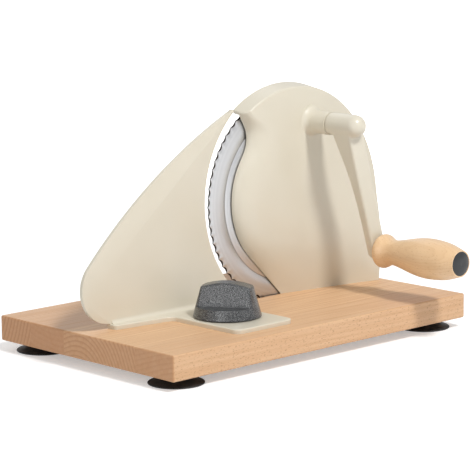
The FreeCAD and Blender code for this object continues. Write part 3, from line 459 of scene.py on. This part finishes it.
def hammered_lacquer():
    lacquer = Finish("hammered_lacquer", 0.32, 0.35, Coat_Weight=0.25, Coat_Roughness=0.2)
    dimple = lacquer.cells(0.8)
    speck = lacquer.noise(0.5, detail=2.0)
    light = lacquer.remap(speck, 0.46, 0.60)
    colour = lacquer.blend(light, linear(26, 27, 29), linear(138, 140, 142))
    colour = lacquer.blend(lacquer.remap(dimple, 0.45, 0.8, 0.0, 0.5), colour, linear(26, 28, 30))
    # painted shade: the colour darkens where the occlusion node finds the corner of the step
    corner = lacquer.tree.nodes.new("ShaderNodeAmbientOcclusion")
    corner.samples = 8
    corner.inputs["Distance"].default_value = 5.0 / MM
    corner_shade = lacquer.remap(corner.outputs["AO"], 0.45, 0.85, 0.75, 0.0)
    colour = lacquer.blend(corner_shade, colour, linear(16, 17, 18))
    normal = lacquer.bump(lacquer.math("ADD", dimple, speck), 0.05)
    return lacquer.done(colour, None, normal)


def moulded(name, colour, roughness, grain_mm, depth_mm):
    """Moulded rubber or plastic: nearly one colour, with the grain of its mould."""
    plastic = Finish(name, roughness)
    patch = plastic.noise(12.0)
    darker = tuple(0.82 * v for v in linear(*colour))
    tint = plastic.blend(patch, linear(*colour), darker)
    gloss = plastic.remap(patch, 0.3, 0.7, roughness - 0.07, roughness + 0.07)
    return plastic.done(tint, gloss, plastic.bump(plastic.noise(grain_mm), depth_mm))


# %% [markdown]
# ## Dressing the solids
#
# The record says which material slot each solid belongs to. Materials could be
# set by hand, one solid at a time, but a table from slot to finish can't miss
# one, and it keeps the slots that the exported model is checked against.

# %% Give every solid its finish
finishes = {
    "board_wood": board_beech(),
    "handle_wood": handle_beech(),
    "cream_paint": cream_paint(),
    "blade_steel": ground_blade(),
    "sheet_steel": plain_metal("sheet_steel", (196, 198, 202), (176, 178, 183), 0.38),
    "shaft_steel": plain_metal("shaft_steel", (190, 190, 192), (168, 168, 171), 0.28),
    "screw_steel": plain_metal("screw_steel", (200, 203, 208), (176, 180, 188), 0.33),
    "bronze": plain_metal("bronze", (190, 140, 84), (164, 116, 66), 0.40),
    "brass": plain_metal("brass", (218, 184, 106), (196, 160, 84), 0.30),
    "rubber": moulded("rubber", (38, 37, 38), 0.55, 0.6, 0.02),
    "gear_plastic": moulded("gear_plastic", (222, 218, 206), 0.42, 1.5, 0.01),
    "washer_plastic": moulded("washer_plastic", (216, 208, 190), 0.45, 0.8, 0.01),
    "plug_plastic": moulded("plug_plastic", (46, 48, 50), 0.42, 0.5, 0.02),
    "knob_plastic": hammered_lacquer(),
}


def give(piece, slot):
    piece.data.materials.clear()
    piece.data.materials.append(finishes[slot])


slot_of = {row["node"]: row["material_slot"] for row in frame["record"]["subparts"]}
for node, piece in frame["nodes"].items():
    give(piece, slot_of[node])
print("finished solids:", len(slot_of))

# %% [markdown]
# ## The blade
#
# The blade is a thin disc with 72 shallow scallops. On the real one each scallop
# is ground from the front, which leaves a small facet that is widest in the
# middle of the hollow and mirrors a dark part of the room. The mesh marks the
# facet, and its colour is darkened there as a painted reflection. A boolean could
# cut the scallops one at a time, but a disc is easier to work out whole: every
# point has an angle and a place along the section, so the rim's wave and the
# facet are two short formulas.

# %% Make a mesh from a grid of points


def grid_faces(rows, columns):
    """Join each point of a grid to its right and lower neighbours. Both ways close on themselves."""
    row = np.arange(rows)[:, None] * columns
    below = (np.arange(rows)[:, None] + 1) % rows * columns
    column = np.arange(columns)[None, :]
    beside = (column + 1) % columns
    corners = (row + column, row + beside, below + beside, below + column)
    return np.stack(np.broadcast_arrays(*corners), -1).reshape(-1, 4)


def signed_volume(points, faces):
    """Add up the volumes of the tents from the origin to each face: negative is inside out."""
    a, b, c, d = (points[faces[:, k]] for k in range(4))
    return float((np.cross(a, b) * c).sum() + (np.cross(a, c) * d).sum()) / 6.0


def add_piece(name, points, faces, slot, body, replaced, sharp_degrees=35.0):
    """Put points in millimetres and four cornered faces into a piece that rides on a body."""
    points = np.asarray(points, float).reshape(-1, 3)
    if signed_volume(points - points.mean(0), faces) < 0.0:
        faces = faces[:, ::-1]
    mesh = bpy.data.meshes.new(name)
    mesh.from_pydata((points / MM).tolist(), [], faces.tolist())
    mesh.shade_smooth()
    mesh.set_sharp_from_angle(angle=math.radians(sharp_degrees))
    mesh.update()
    piece = bpy.data.objects.new(name, mesh)
    scene.collection.objects.link(piece)
    give(piece, slot)
    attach(piece, body)
    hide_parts(replaced)
    print(name, len(faces), "faces")
    return piece


# %% Make the blade
blade_radius, tooth_count, tooth_depth = 95.0, 72, 1.0
blade_front, blade_back = 28.35, 29.75
blade_hole, edge_thickness = 8.05, 0.18
bevel_start, bevel_depth, bevel_overrun = 83.0, 1.0, 1.0
facet_least, facet_more = 0.35, 1.25
front_radii, back_radii = (blade_hole, 20.0, 55.0), (90.0, 55.0, 20.0, blade_hole)
groove_section = ((-0.8, 0.0), (-0.35, 0.22), (0.0, 0.3), (0.35, 0.22), (0.8, 0.0))
steps_per_tooth = 12


def make_blade():
    """A disc in polar form. The rim is radius - depth * (1 - (2t - 1)^2), t from 0 to 1 in a tooth.

    The section runs out along the front, over the groove and the bevel to the
    facet, then round the edge and back in along the flat back.
    """
    count = tooth_count * steps_per_tooth
    angle = 2.0 * np.pi * np.arange(count) / count
    t = (np.arange(count) % steps_per_tooth) / steps_per_tooth
    hollow = 1.0 - (2.0 * t - 1.0) ** 2
    rim = blade_radius - tooth_depth * hollow
    facet_start = rim - facet_least - facet_more * hollow
    slope = bevel_depth / (blade_radius + bevel_overrun - bevel_start)
    flat = np.ones(count)
    section = [(ring * flat, blade_front * flat) for ring in front_radii]
    for step, sink in groove_section:
        section.append(((groove_radius + step) * flat, (blade_front + sink) * flat))
    section.append((bevel_start * flat, blade_front * flat))
    for share in (0.5, 1.0):
        ring = bevel_start + (facet_start - bevel_start) * share
        section.append((ring, blade_front + slope * (ring - bevel_start)))
    first_facet_row = len(section)
    section.append((facet_start + 0.12, blade_front + slope * (facet_start - bevel_start) + 0.05))
    section.append((rim, (blade_back - edge_thickness) * flat))
    section.append((rim, blade_back * flat))
    facet_end_row = len(section)
    section += [(ring * flat, blade_back * flat) for ring in back_radii]
    radius, depth = (np.array(part) for part in zip(*section))
    across = blade_axis[0] + radius * np.cos(angle)
    above = blade_axis[1] + radius * np.sin(angle)
    points = np.stack([across, depth, above], -1)
    faces = grid_faces(len(section), count)
    blade = add_piece("round_blade", points, faces, "blade_steel", "blade_unit", "blade", 28.0)
    # the facet rows get a mark that the steel reads to paint a dark reflection there
    ground = np.zeros((len(section), count), np.float32)
    ground[first_facet_row:facet_end_row] = 1.0
    facet_shade_mark = blade.data.attributes.new("tooth_facet_shade", "FLOAT", "POINT")
    facet_shade_mark.data.foreach_set("value", ground.ravel())
    return blade


make_blade()

# %% [markdown]
# ## The suction feet
#
# Each foot is one moulded cup of soft rubber: a short neck, a flare that hollows
# as it goes out, and a thin lip that grips the table. It is a turned shape, so a
# section carried round an axis makes it. The flare is an ease curve, not a cone,
# because rubber of even thickness bends and doesn't kink.

# %% Make the feet
foot_across, foot_near, foot_far = 149.0, -63.15, 107.85
foot_places = {"foot_front_left": (-foot_across, foot_near), "foot_front_right": (foot_across, foot_near),
               "foot_back_left": (-foot_across, foot_far), "foot_back_right": (foot_across, foot_far)}
cup_bore, cup_neck, cup_flare = 2.1, 11.0, 12.0
cup_height, cup_hollow = 8.5, 3.4


def cup_section():
    """Radius and height down the outside, round the lip and back up the hollow.

    The outside falls as (1 - share)^1.7 from the neck to the lip.
    """
    share = np.linspace(0.0, 1.0, 12)
    outer = [(cup_bore, cup_height), (10.4, cup_height), (cup_neck, 8.1), (cup_neck, 7.0)]
    outer += [(cup_neck + cup_flare * s, 1.1 + 5.4 * (1.0 - s) ** 1.7) for s in share]
    lip = [(23.4, 0.8), (23.5, 0.4), (23.3, 0.05), (22.9, 0.0), (21.6, 0.0)]
    under = [(21.5 - 10.5 * s, cup_hollow * (1.0 - (1.0 - s) ** 1.6)) for s in share[1:]]
    return np.array(outer + lip + under + [(cup_bore, cup_hollow)])


def make_foot(node, x, y, count=96):
    """Carry the section round the foot's axis in count steps."""
    section = cup_section()
    angle = 2.0 * np.pi * np.arange(count) / count
    radius, height = section[:, :1], section[:, 1:]
    points = np.stack([x + radius * np.cos(angle), y + radius * np.sin(angle), height + 0.0 * angle], -1)
    name = node.replace("foot", "cup")
    return add_piece(name, points, grid_faces(len(section), count), "rubber", "base", node, 50.0)


for node, (x, y) in foot_places.items():
    make_foot(node, x, y)

# %% [markdown]
# ## The crank casting
#
# On the real crank the lever grows out of the hub with a soft hollow, as sand
# castings do, but two solids joined in the model meet in a crease. Sculpting
# could soften it. Here a copy of the solid is skinned again with even small
# squares, and those are relaxed, which rounds every crease by about a millimetre.

# %% Relax the crank
skin_size = 0.0007
relax_share, relax_rounds = 0.5, 14


def copy_of(node, name):
    """A merged copy of a solid's mesh. Its triangles come loose, so equal points are joined."""
    mesh = frame["nodes"][node].data.copy()
    mesh.name = name
    work = bmesh.new()
    work.from_mesh(mesh)
    bmesh.ops.remove_doubles(work, verts=work.verts, dist=2e-6)
    work.to_mesh(mesh)
    work.free()
    stale = mesh.attributes.get("custom_normal")
    if stale is not None:
        mesh.attributes.remove(stale)
    piece = bpy.data.objects.new(name, mesh)
    scene.collection.objects.link(piece)
    return piece


def settle(piece):
    """Replace a piece's mesh by what its modifiers make of it, and drop the modifiers."""
    bpy.context.view_layer.update()
    graph = bpy.context.evaluated_depsgraph_get()
    mesh = bpy.data.meshes.new_from_object(piece.evaluated_get(graph))
    piece.modifiers.clear()
    piece.data = mesh
    return mesh


def make_crank():
    crank = copy_of("crank_arm", "crank_casting")
    skin = crank.modifiers.new("skin", "REMESH")
    skin.mode = "VOXEL"
    skin.voxel_size = skin_size
    relax = crank.modifiers.new("relax", "SMOOTH")
    relax.factor, relax.iterations = relax_share, relax_rounds
    settle(crank).shade_smooth()
    give(crank, "cream_paint")
    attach(crank, "crank")
    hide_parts("crank_arm")
    print("crank_casting", len(crank.data.polygons), "faces")


make_crank()

# %% [markdown]
# ## The guide fence
#
# The fence is cast and painted, and paint never holds a knife edge: its edges
# are rounded by less than a millimetre, and that is where the light catches. The
# flat faces of a merged copy are joined into single faces first, because a bevel
# follows edges and would else round the cuts between triangles too.

# %% Round the fence's edges
fence_edge, fence_edge_steps = 0.0007, 3
flat_within, round_over, sharp_over = (math.radians(degrees) for degrees in (0.6, 50.0, 38.0))


def make_fence():
    fence = copy_of("fence", "guide_fence")
    work = bmesh.new()
    work.from_mesh(fence.data)
    bmesh.ops.dissolve_limit(work, angle_limit=flat_within, verts=work.verts, edges=work.edges)
    work.to_mesh(fence.data)
    work.free()
    edge = fence.modifiers.new("edge", "BEVEL")
    edge.width, edge.segments = fence_edge, fence_edge_steps
    edge.limit_method, edge.angle_limit = "ANGLE", round_over
    mesh = settle(fence)
    mesh.shade_smooth()
    mesh.set_sharp_from_angle(angle=sharp_over)
    give(fence, "cream_paint")
    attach(fence, "fence")
    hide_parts("fence")
    print("guide_fence", len(mesh.polygons), "faces")


make_fence()

# %% [markdown]
# ## The floor
#
# The floor is white paper. Lit like the object it would look grey, and more lamp
# light would bleach the paint. So it takes the shadow as any floor does, and
# glows a little, but only where it is looked at or mirrored.

# %% Lay the floor
glow_from, glow_full = 0.35, 1.1
paper = 0.86


def add_floor(size, level, near, far):
    """A white floor that shades as usual, and glows to camera and mirror rays.

    The glow rises from near to far with the distance from the middle, so the
    shadow by the object stays and the far floor is as white as paper.
    """
    mesh = bpy.data.meshes.new("floor")
    half = size / 2.0
    corners = [(-half, -half, level), (half, -half, level), (half, half, level), (-half, half, level)]
    mesh.from_pydata(corners, [], [(0, 1, 2, 3)])
    floor = bpy.data.objects.new("floor", mesh)
    scene.collection.objects.link(floor)
    material = bpy.data.materials.new("floor")
    material.use_nodes = True
    tree = material.node_tree
    shader = tree.nodes["Principled BSDF"]
    shader.inputs["Base Color"].default_value = (paper, paper, paper, 1.0)
    shader.inputs["Roughness"].default_value = 0.9
    shader.inputs["Specular IOR Level"].default_value = 0.0
    light = tree.nodes.new("ShaderNodeEmission")
    path = tree.nodes.new("ShaderNodeLightPath")
    either = tree.nodes.new("ShaderNodeMath")
    either.operation = "MAXIMUM"
    where = tree.nodes.new("ShaderNodeTexCoord")
    reach = tree.nodes.new("ShaderNodeVectorMath")
    reach.operation = "LENGTH"
    glow = tree.nodes.new("ShaderNodeMapRange")
    glow.interpolation_type = "SMOOTHSTEP"
    ends = {"From Min": glow_from, "From Max": glow_full, "To Min": near, "To Max": far}
    for socket, number in ends.items():
        glow.inputs[socket].default_value = number
    seen = tree.nodes.new("ShaderNodeMath")
    seen.operation = "MULTIPLY"
    add = tree.nodes.new("ShaderNodeAddShader")
    tree.links.new(path.outputs["Is Camera Ray"], either.inputs[0])
    tree.links.new(path.outputs["Is Glossy Ray"], either.inputs[1])
    tree.links.new(where.outputs["Object"], reach.inputs[0])
    tree.links.new(reach.outputs["Value"], glow.inputs["Value"])
    tree.links.new(either.outputs[0], seen.inputs[0])
    tree.links.new(glow.outputs[0], seen.inputs[1])
    tree.links.new(seen.outputs[0], light.inputs["Strength"])
    tree.links.new(shader.outputs[0], add.inputs[0])
    tree.links.new(light.outputs[0], add.inputs[1])
    tree.links.new(add.outputs[0], tree.nodes["Material Output"].inputs["Surface"])
    mesh.materials.append(material)
    return floor


floor_size, floor_level, near_glow, far_glow = 30.0, -0.0002, 0.38, 1.0
add_floor(floor_size, floor_level, near_glow, far_glow)
print("floor at", floor_level, "m, glow", near_glow, "to", far_glow)
